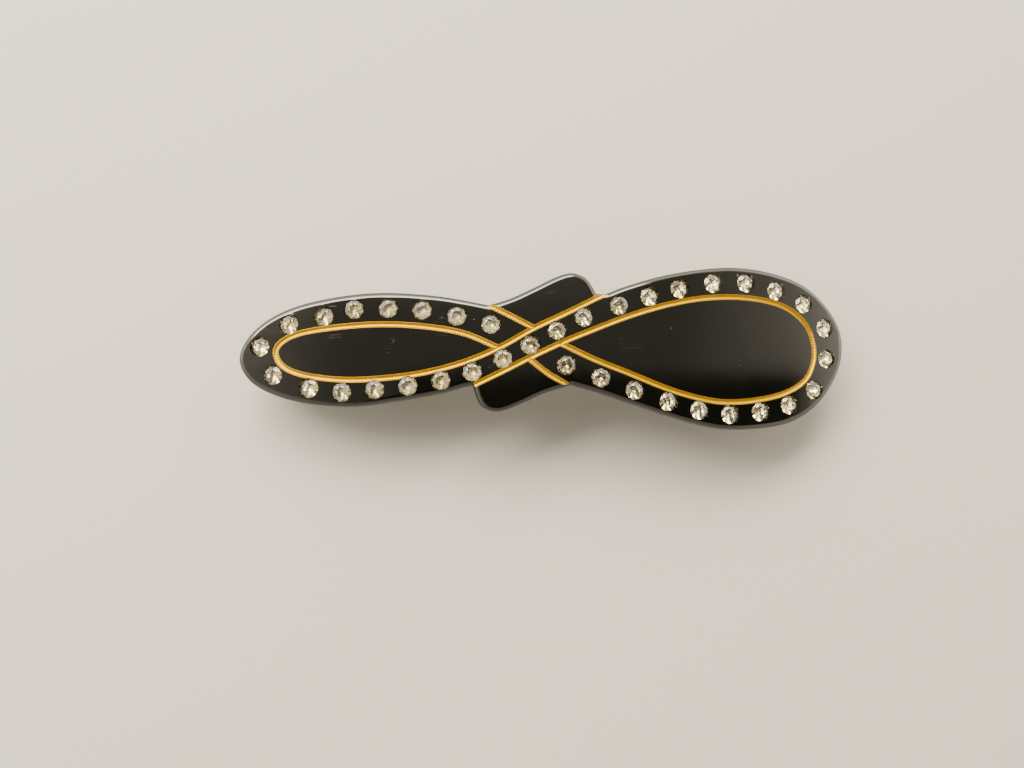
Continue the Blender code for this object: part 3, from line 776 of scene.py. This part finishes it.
# %% Clear away the cutters
cutters = [*groove_tubes.values(), *bore_tubes.values(), pockets]
for cutter in cutters:
    bpy.data.objects.remove(cutter)
print("cleared", len(cutters), "cutters")

# %% [markdown]
# ## Cutting a stone
# A stone is cut by laying it on a turning lap, one facet at a time, and each facet is a plane that takes a
# slice off. So the rough is a short cylinder, and each facet is a bisect that throws away what is outside
# it: eight main facets and sixteen small ones on the crown, eight stars round the table, and eight and
# sixteen again on the back. The crown and the table are glass, and what looks sideways or down is foil.

# %% Cut one stone
STONE_PROUD = 0.20 * MM
CROWN_DEPTH = 0.45 * MM
GIRDLE_DEPTH = 0.10 * MM
GIRDLE = STONE_PROUD - CROWN_DEPTH  # height of the girdle's top edge
CROWN_ANGLE = 32.0
UPPER_ANGLE = CROWN_ANGLE + 4.0  # the small facets above the girdle
STAR_ANGLE = 20.0
BACK_ANGLE = 37.0
LOWER_ANGLE = BACK_ANGLE + 2.5  # the small facets below the girdle
STONE_SIDES = 48
ROUGH_LENGTH = 4 * MM
LOOKS_UP = 0.3  # a face whose normal rises more than this is glass

start()
bpy.ops.mesh.primitive_cylinder_add(vertices=STONE_SIDES, radius=STONE_RADIUS, depth=ROUGH_LENGTH)
rough = bpy.context.object
rough.data.transform(Matrix.Translation((0.0, 0.0, STONE_PROUD - ROUGH_LENGTH / 2)))


def grind(azimuth, slope, radius, height):
    """Takes off what lies outside a plane at that radius and height, tilted by its slope."""
    turn, tilt = math.radians(azimuth), math.radians(slope)
    outward = Vector((math.sin(tilt) * math.cos(turn), math.sin(tilt) * math.sin(turn), math.cos(tilt)))
    point = Vector((radius * math.cos(turn), radius * math.sin(turn), height))
    bpy.ops.mesh.select_all(action="SELECT")
    bpy.ops.mesh.bisect(
        plane_co=point, plane_no=outward, use_fill=True, clear_outer=True, threshold=0.0001 * MM
    )


table_reach = STONE_RADIUS - CROWN_DEPTH / math.tan(math.radians(CROWN_ANGLE))
back = GIRDLE - GIRDLE_DEPTH
edit(rough, "FACE", lambda face: True)
for n in range(8):
    grind(45 * n, CROWN_ANGLE, STONE_RADIUS, GIRDLE)
    grind(45 * n, 180 - BACK_ANGLE, STONE_RADIUS, back)
for n in range(16):
    grind(22.5 * n + 11.25, UPPER_ANGLE, STONE_RADIUS, GIRDLE)
    grind(22.5 * n + 11.25, 180 - LOWER_ANGLE, STONE_RADIUS, back)
for n in range(8):
    grind(45 * n + 22.5, STAR_ANGLE, table_reach * math.cos(math.radians(22.5)), STONE_PROUD)
start()
rough.data.materials.append(glass)
rough.data.materials.append(foil)
for face in rough.data.polygons:
    face.material_index = 1 if face.normal.z < LOOKS_UP else 0
deepest = -min(vertex.co.z for vertex in rough.data.vertices)
print("stone:", len(rough.data.polygons), "facets,", round(deepest / MM, 2), "mm deep")

# %% [markdown]
# The setter presses each stone into its pocket by hand, so it sits a little high or low, a little tilted,
# and turned anyhow. A fixed seed gives the same stones each time.

# %% Set the stones
SETTING_TILT = 3.0
chance = random.Random(37)
for n, place in enumerate(stone_places, start=1):
    stone = rough.copy()
    stone.data = rough.data.copy()
    rise = chance.uniform(-0.04, 0.03) * MM
    tilt = Matrix.Rotation(math.radians(chance.uniform(-SETTING_TILT, SETTING_TILT)), 4, "X")
    tilt = tilt @ Matrix.Rotation(math.radians(chance.uniform(-SETTING_TILT, SETTING_TILT)), 4, "Y")
    turn = Matrix.Rotation(math.radians(chance.uniform(0.0, 45.0)), 4, "Z")
    stone.data.transform(arch_frame(place.x, place.y, rise) @ tilt @ turn)
    bpy.context.scene.collection.objects.link(stone)
    finish_piece(stone, f"chaton_{n:02d}", None, "face", "foiled_stone", f"stone_{n:02d}")
bpy.data.objects.remove(rough)
print("set", len(stone_places), "stones")

# %% [markdown]
# ## The clip's strips
# The clip under the plate is stamped from spring-steel strip and bent, so most of its pieces are one
# thickness of metal that follows a side view. A grid one square wide is laid along that side view, Solidify
# gives it the metal's thickness, and a fine bevel gives the soft edge that barrel plating leaves on
# stampings.

# %% Strips, turned pieces and soft edges
STRIP_THICKNESS = 0.6 * MM
SPRING_THICKNESS = 0.4 * MM
STAMPED_EDGE = 0.08 * MM


def grid(columns, rows, place_of):
    """A grid whose points go where place_of says for their column and row, merged where they meet."""
    start()
    bpy.ops.mesh.primitive_grid_add(x_subdivisions=columns, y_subdivisions=rows, size=2.0)
    piece = bpy.context.object
    for vertex in piece.data.vertices:
        column, row = (vertex.co.x + 1) / 2 * columns, (vertex.co.y + 1) / 2 * rows
        vertex.co = place_of(round(column), round(row))
    edit(piece, "VERT", lambda vertex: True)
    bpy.ops.mesh.remove_doubles(threshold=MERGE)
    start()
    return piece


def face_outwards(piece):
    """Turns a closed piece's faces to point out."""
    edit(piece, "FACE", lambda face: True)
    bpy.ops.mesh.normals_make_consistent(inside=False)
    start()


def strip(side_view, thickness):
    """Sheet metal that follows (x, z, half width) points."""
    piece = grid(
        len(side_view) - 1,
        1,
        lambda n, side: (side_view[n][0], (2 * side - 1) * side_view[n][2], side_view[n][1]),
    )
    apply(piece, "SOLIDIFY", thickness=thickness, offset=0.0, use_even_offset=True)
    face_outwards(piece)
    return piece


def turned(profile, matrix):
    """A turned piece: a grid rolled up round Z, with a (radius, height) point for each of its rows."""

    def rolled(column, row):
        angle = 2 * math.pi * column / TURNED_SIDES
        radius, height = profile[row]
        return (radius * math.cos(angle), radius * math.sin(angle), height)

    piece = grid(TURNED_SIDES, len(profile) - 1, rolled)
    face_outwards(piece)
    piece.data.transform(matrix)
    return piece


def dome(radius, foot, rise):
    """(radius, height) points of a domed head, from its rim to its middle."""
    steps = 6
    return [
        (radius * math.cos(math.pi / 2 * n / steps), foot + rise * math.sin(math.pi / 2 * n / steps))
        for n in range(steps + 1)
    ]


def drill_through(piece, radius, matrix):
    """Drills along the matrix's Z, far enough each way to pass the whole clip."""
    reach = 6 * MM
    hole = turned([(0.0, reach), (radius, reach), (radius, -reach), (0.0, -reach)], matrix)
    cut(piece, hole)
    bpy.data.objects.remove(hole)


def finish_steel(piece, name, body, node):
    """Softens a stamping's edges, smooths its bends, and gives it its plating."""
    apply(piece, "BEVEL", width=STAMPED_EDGE, segments=2, limit_method="ANGLE", angle_limit=math.radians(50))
    smooth(piece, 40)
    finish_piece(piece, name, steel, body, "nickel_steel", node)


print("strip", STRIP_THICKNESS / MM, "mm, springs", SPRING_THICKNESS / MM, "mm")

# %% [markdown]
# ## The base bar
# It is curved to the plate's underside. Two ears with round feet, folded down at its right end, hold the
# hinge pin, and a small square loop keeps the tension bar's tongue. They are joined to the bar by a Boolean
# union.

# %% Where things are on the clip
BASE_HEIGHT = -PLATE_THICKNESS - 0.1 * MM - STRIP_THICKNESS / 2
BASE_UNDER = BASE_HEIGHT - STRIP_THICKNESS / 2
BASE_REACH = 40.5 * MM
BASE_HALF_WIDTH = 3.5 * MM
joints = {joint["name"]: joint for joint in frame["joints"]}
HINGE = Vector(joints["clasp_arm_hinge"]["pos_m"])
PIN_RADIUS = 0.60 * MM
EAR_RADIUS = 1.6 * MM
KEEPER = 31.0 * MM  # along the arch
KEEPER_HALF_LENGTH = 1.2 * MM
KEEPER_THICKNESS = 0.35 * MM
KEEPER_LINE = [(-1.73, 0.10), (-1.73, -0.45), (-1.66, -0.66), (-1.45, -0.735), (0.0, -0.735)]  # its left half
RIVET = -34.2 * MM
RIVET_RADIUS = 0.60 * MM
ACROSS = Matrix.Rotation(math.pi / 2, 4, "X")
print("hinge at", round(HINGE.x / MM, 1), "mm, keeper at", round(KEEPER / MM, 1), "mm along")

# %% Make the base bar
BAR_STEPS = 80

side_view = []
for n in range(BAR_STEPS + 1):
    point = on_arch(BASE_REACH * (2 * n / BAR_STEPS - 1), 0.0, BASE_HEIGHT)
    side_view.append((point.x, point.z, BASE_HALF_WIDTH))
base_bar = strip(side_view, STRIP_THICKNESS)

ear_top = on_arch(HINGE.x, 0.0, BASE_HEIGHT).z
for side in (-1, 1):
    inner = side * (BASE_HALF_WIDTH - STRIP_THICKNESS)
    half_turn = [math.pi + math.pi * n / 16 for n in range(17)]
    rim = [(HINGE.x + EAR_RADIUS * math.cos(a), inner, HINGE.z + EAR_RADIUS * math.sin(a)) for a in half_turn]
    rim = [(HINGE.x - EAR_RADIUS, inner, ear_top)] + rim + [(HINGE.x + EAR_RADIUS, inner, ear_top)]
    ear = slab(rim, (0.0, side * STRIP_THICKNESS, 0.0))
    cut(base_bar, ear, "UNION")
    bpy.data.objects.remove(ear)

keeper_line = KEEPER_LINE + [(-x, z) for x, z in KEEPER_LINE[-2::-1]]
keeper = strip([(x * MM, z * MM, KEEPER_HALF_LENGTH) for x, z in keeper_line], KEEPER_THICKNESS)
keeper.data.transform(arch_frame(KEEPER, 0.0, BASE_UNDER) @ Matrix.Rotation(math.pi / 2, 4, "Z"))
cut(base_bar, keeper, "UNION")
bpy.data.objects.remove(keeper)

drill_through(base_bar, PIN_RADIUS + FIT_GAP, Matrix.Translation(HINGE) @ ACROSS)
for along, radius in ((-FIXING, FIXING_RADIUS), (FIXING, FIXING_RADIUS), (RIVET, RIVET_RADIUS)):
    drill_through(base_bar, radius + FIT_GAP, arch_frame(along, 0.0, BASE_UNDER))
finish_steel(base_bar, "stamped_base_bar", "face", "base_bar")
print("base bar:", len(base_bar.data.polygons), "faces")

# %% [markdown]
# ## Pins and rivet
# Each is a turned pin with a domed head. The two fixing pins end blind inside the acetate, the hinge pin
# has a head on each side, and the rivet holds the latch's foot.

# %% Turn the pins
FIXING_LENGTH = 2.3 * MM  # above the base bar's underside
FIXING_HEAD = 1.15 * MM  # radius
HINGE_HEAD = 0.95 * MM
RIVET_HEAD = 1.0 * MM
HINGE_HEAD_RISE = 0.4 * MM - FIT_GAP
FOOT_UNDER = -FIT_GAP - SPRING_THICKNESS  # the latch foot's underside, below the base bar's


def finish_pin(pin, name, node):
    smooth(pin, 40)
    finish_piece(pin, name, steel, "face", "nickel_steel", node)


for name, side in (("left", -1), ("right", 1)):
    head = [(radius, -FIT_GAP - rise) for radius, rise in dome(FIXING_HEAD, 0.0, 0.35 * MM)]
    profile = [(0.0, FIXING_LENGTH), (FIXING_RADIUS, FIXING_LENGTH), (FIXING_RADIUS, -FIT_GAP)] + head
    pin = turned(profile, arch_frame(side * FIXING, 0.0, BASE_UNDER))
    finish_pin(pin, f"headed_pin_{name}", f"fixing_pin_{name}")

outer = BASE_HALF_WIDTH + FIT_GAP
far_head = dome(HINGE_HEAD, outer, HINGE_HEAD_RISE)
near_head = [(radius, -height) for radius, height in far_head]
profile = far_head[::-1] + [(PIN_RADIUS, outer), (PIN_RADIUS, -outer)] + near_head
finish_pin(turned(profile, Matrix.Translation(HINGE) @ ACROSS), "headed_hinge_pin", "hinge_pin")

head = [(radius, FOOT_UNDER - FIT_GAP - rise) for radius, rise in dome(RIVET_HEAD, 0.0, 0.25 * MM)]
shank = [(0.0, STRIP_THICKNESS), (RIVET_RADIUS, STRIP_THICKNESS), (RIVET_RADIUS, FOOT_UNDER - FIT_GAP)]
finish_pin(turned(shank + head, arch_frame(RIVET, 0.0, BASE_UNDER)), "domed_rivet", "latch_rivet")
print("pins have", TURNED_SIDES, "sides")

# %% [markdown]
# ## The arm
# One strip, rolled into a knuckle round the hinge pin, runs in a low arch to a wider paddle with the window
# that the latch bites in, and ends in a lip that a nail lifts.

# %% The arm's side view
ARM_THICKNESS = 0.5 * MM
ARM_RISE = 1.4 * MM
SOLE = ARM_THICKNESS / 2  # the least height of the arm's middle, where it lies on the table
KNUCKLE_RADIUS = 0.90 * MM
KNUCKLE_WIDTH = 2.65  # half widths, in millimetres
ARM_WIDTH = 3.0
PADDLE_WIDTH = 4.2
ARM_STEPS = 6

# Where each half width holds, along the arm from the knuckle to the lip.
ARM_WIDTHS = [
    (38.0, KNUCKLE_WIDTH), (34.6, KNUCKLE_WIDTH), (32.5, ARM_WIDTH), (24.0, ARM_WIDTH), (8.0, ARM_WIDTH),
    (-8.0, ARM_WIDTH), (-24.0, ARM_WIDTH), (-30.6, ARM_WIDTH), (-33.4, PADDLE_WIDTH), (-36.9, PADDLE_WIDTH),
    (-40.4, PADDLE_WIDTH), (-42.2, ARM_WIDTH),
]
# The lip comes down to the table and narrows to its end: (x, height, half width).
LIP = [(-43.7, 1.3, 3.0), (-44.6, SOLE / MM, 3.0), (-45.3, SOLE / MM, 2.8), (-46.0, SOLE / MM, 2.0)]


def arm_height(x):
    return HINGE.z + KNUCKLE_RADIUS + ARM_RISE * (1 - (x / HINGE.x) ** 2)


side_view = []
for degrees in range(-200, 90, 10):
    angle = math.radians(degrees)
    knuckle_point = HINGE + Vector((math.cos(angle), 0.0, math.sin(angle))) * KNUCKLE_RADIUS
    side_view.append((knuckle_point.x, knuckle_point.z, KNUCKLE_WIDTH * MM))
points = [Vector((x * MM, arm_height(x * MM), width * MM)) for x, width in ARM_WIDTHS]
points += [Vector((x, z, width)) * MM for x, z, width in LIP]
side_view += [(x, max(z, SOLE), width) for x, z, width in curve_through(points, ARM_STEPS)]
print("the arm's side view has", len(side_view), "points")

# %% Make the arm and cut its window
WINDOW = -36.7 * MM
WINDOW_HALF_LENGTH = 2.35 * MM
WINDOW_HALF_WIDTH = 2.75 * MM
WINDOW_CORNER = 0.6 * MM

arm = strip(side_view, ARM_THICKNESS)
rim = []
for quarter, (x, y) in enumerate(((1, 1), (-1, 1), (-1, -1), (1, -1))):
    across = y * (WINDOW_HALF_WIDTH - WINDOW_CORNER)
    middle = Vector((WINDOW + x * (WINDOW_HALF_LENGTH - WINDOW_CORNER), across, 0.0))
    for n in range(7):
        angle = math.pi / 2 * (quarter + n / 6)
        rim.append(middle + Vector((math.cos(angle), math.sin(angle), 0.0)) * WINDOW_CORNER)
window = slab(rim, (0.0, 0.0, 10 * MM))
cut(arm, window)
bpy.data.objects.remove(window)
finish_steel(arm, "rolled_arm", "arm", "clasp_arm")
print("arm:", len(arm.data.polygons), "faces")

# %% [markdown]
# ## The tension bar
# A bowed strip of thinner spring steel presses the hair against the arm. Its narrow tongue goes through the
# keeper and its other end is free.

# %% Make the tension bar
BOW = [(33.0, 8.00), (29.6, 8.43), (24.5, 8.05), (12.0, 6.45), (-2.0, 5.75), (-16.0, 6.15), (-26.8, 7.0)]
BOW_STEPS = 12
BOW_WIDTH = 2.2  # half widths, in millimetres
TONGUE = (1.3, 28.8, 27.0)  # half width, and the x where it starts and stops widening
FREE_END = (1.4, -26.8, -23.6)


def bow_half_width(x):
    """The bar's half width there, which eases from an end's to the bow's."""
    for half_width, narrow, wide in (TONGUE, FREE_END):
        share = min(max((x / MM - wide) / (narrow - wide), 0.0), 1.0)
        if share > 0:
            return (BOW_WIDTH + (half_width - BOW_WIDTH) * share * share * (3 - 2 * share)) * MM
    return BOW_WIDTH * MM


side_view = curve_through([Vector((x * MM, z * MM)) for x, z in BOW], BOW_STEPS)
tension_bar = strip([(x, z, bow_half_width(x)) for x, z in side_view], SPRING_THICKNESS)
finish_steel(tension_bar, "bowed_tension_bar", "tension_bar", "tension_bar")
print("tension bar:", len(tension_bar.data.polygons), "faces")

# %% [markdown]
# ## The latch
# Its foot is riveted under the base bar. Each wing has a shelf, a grip that stands out to be pinched, a leg
# that goes down through the arm's window and a barb that catches under the window's edge.

# %% Make the latch
LATCH = -38.0 * MM
LATCH_HALF_LENGTH = 1.7 * MM
FOOT_START = LATCH - LATCH_HALF_LENGTH
FOOT_END = -32.6 * MM
FOOT_HALF_WIDTH = 1.9 * MM
FOOT_STEPS = 8
# A wing seen from its end, in millimetres: (out from the middle, height below the base bar).
WING = [
    (1.60, -0.50), (2.70, -0.55), (5.15, -0.95), (5.25, -3.35), (2.60, -4.40), (2.55, -5.45), (3.15, -5.45),
    (2.40, -6.60), (2.00, -6.60), (2.10, -4.15), (4.80, -3.05), (4.75, -1.30), (2.60, -0.95), (1.60, -0.90),
]

side_view = []
for n in range(FOOT_STEPS + 1):
    along = FOOT_START + (FOOT_END - FOOT_START) * n / FOOT_STEPS
    point = on_arch(along, 0.0, BASE_UNDER - FIT_GAP - SPRING_THICKNESS / 2)
    side_view.append((point.x, point.z, FOOT_HALF_WIDTH))
foot = strip(side_view, SPRING_THICKNESS)
drill_through(foot, RIVET_RADIUS + FIT_GAP, arch_frame(RIVET, 0.0, BASE_UNDER))
finish_steel(foot, "riveted_latch_foot", "face", "latch_foot")

for name, side in (("front", -1), ("rear", 1)):
    edge = [(-LATCH_HALF_LENGTH, side * y * MM, z * MM) for y, z in WING]
    wing = slab(edge, (2 * LATCH_HALF_LENGTH, 0.0, 0.0))
    wing.data.transform(arch_frame(LATCH, 0.0, BASE_UNDER))
    finish_steel(wing, f"pinched_wing_{name}", f"latch_wing_{name}", f"latch_wing_{name}")
print("latch foot:", len(foot.data.polygons), "faces; each wing:", len(wing.data.polygons))

# %% [markdown]
# ## Floor and light
# A plain pale floor, and a long soft lamp behind the barrette for the bright lines on its rounded rims. The
# floor shows only from above, so that the open arm, which hangs below it, can be looked at from beneath.

# %% The floor
start()
bpy.ops.mesh.primitive_plane_add(size=4.0, location=(0.0, 0.0, 0.0))
floor = bpy.context.object
floor.name = "floor"
paper, tree, shader, place = new_material("pale_paper", Base_Color=linear("#8c8a85"), Roughness=0.8)
seen_from = add_node(tree, "ShaderNodeNewGeometry")
clear = add_node(tree, "ShaderNodeBsdfTransparent")
sheet = add_node(
    tree,
    "ShaderNodeMixShader",
    _0=seen_from.outputs["Backfacing"],
    _1=shader.outputs["BSDF"],
    _2=clear.outputs["BSDF"],
)
tree.links.new(sheet.outputs["Shader"], tree.nodes["Material Output"].inputs["Surface"])
floor.data.materials.append(paper)
print("floor at", floor.location.z)

# %% The lamp
LAMP_AIM = Vector((-0.34, 0.62, 0.74)).normalized()
LAMP_AWAY = 0.6
LAMP_LENGTH = 0.74
LAMP_HEIGHT = 0.26

lamp_data = bpy.data.lights.new("long_soft_lamp", "AREA")
lamp_data.shape = "RECTANGLE"
lamp_data.size = LAMP_LENGTH
lamp_data.size_y = LAMP_HEIGHT
lamp_data.energy = 24.0
lamp_data.color = linear("#fff4e0")[:3]
lamp = bpy.data.objects.new("long_soft_lamp", lamp_data)
lamp.location = LAMP_AIM * LAMP_AWAY
lamp.rotation_euler = LAMP_AIM.to_track_quat("Z", "Y").to_euler()
bpy.context.scene.collection.objects.link(lamp)
print("lamp", lamp_data.energy, "W")

# %% [markdown]
# ## The room
# A polished black plate shows the room in it more than its own colour. So the room is dim overhead and
# brighter at its walls, and it has a dark patch over the near side, where a person who looks down at a
# shiny thing sees themself. Each part of it is a smooth step of the direction's X, Y or Z.

# %% Measure the direction
world = bpy.data.worlds.new("soft_room")
bpy.context.scene.world = world
world.use_nodes = True
tree = world.node_tree
background = tree.nodes["Background"]
direction = add_node(tree, "ShaderNodeTexCoord").outputs["Generated"]
axes = add_node(tree, "ShaderNodeSeparateXYZ", Vector=direction)


def soft_step(axis, low, high, at_low=0.0, at_high=1.0):
    """A smooth step along an axis, from at_low to at_high."""
    settings = {"interpolation_type": "SMOOTHSTEP"}
    value = axes.outputs[axis]
    step = add_node(tree, "ShaderNodeMapRange", settings, _0=value, _1=low, _2=high, _3=at_low, _4=at_high)
    return step.outputs["Result"]


def combined(operation, first, second):
    """Two values put together by a math node."""
    return add_node(tree, "ShaderNodeMath", {"operation": operation}, _0=first, _1=second).outputs["Value"]


print("made", world.name)

# %% Darken the viewer's patch and light the walls
VIEWER_DARKNESS = 0.985
OVERHEAD = 0.55

near_side = soft_step("Y", 0.072, 0.102, 1.0, 0.0)
between = combined("MULTIPLY", soft_step("X", -0.29, -0.22), soft_step("X", 0.68, 0.76, 1.0, 0.0))
viewer = combined("MULTIPLY", near_side, combined("MULTIPLY", between, soft_step("Z", 0.60, 0.74)))
open_room = combined("SUBTRACT", 1.0, combined("MULTIPLY", viewer, VIEWER_DARKNESS))

walls = soft_step("Z", 0.80, 0.50, 0.0, 1.1)
far_wall = combined("MULTIPLY", soft_step("Z", 0.74, 0.46), soft_step("Y", -0.4, 0.3, 0.0, 5.0))
left_wall = soft_step("X", -0.36, -0.70, 0.0, 1.3)
right_wall = soft_step("X", 0.40, 0.72, 0.0, 1.1)
glow = combined("MULTIPLY", soft_step("Y", 0.15, 0.26, 0.0, 0.6), soft_step("X", 0.40, 0.20))
room = OVERHEAD
for part in (walls, far_wall, left_wall, right_wall, glow):
    room = combined("ADD", room, part)
tree.links.new(combined("MULTIPLY", room, open_room), background.inputs["Strength"])
background.inputs["Color"].default_value = linear("#fff4dc")
print("room of", len(tree.nodes), "nodes")
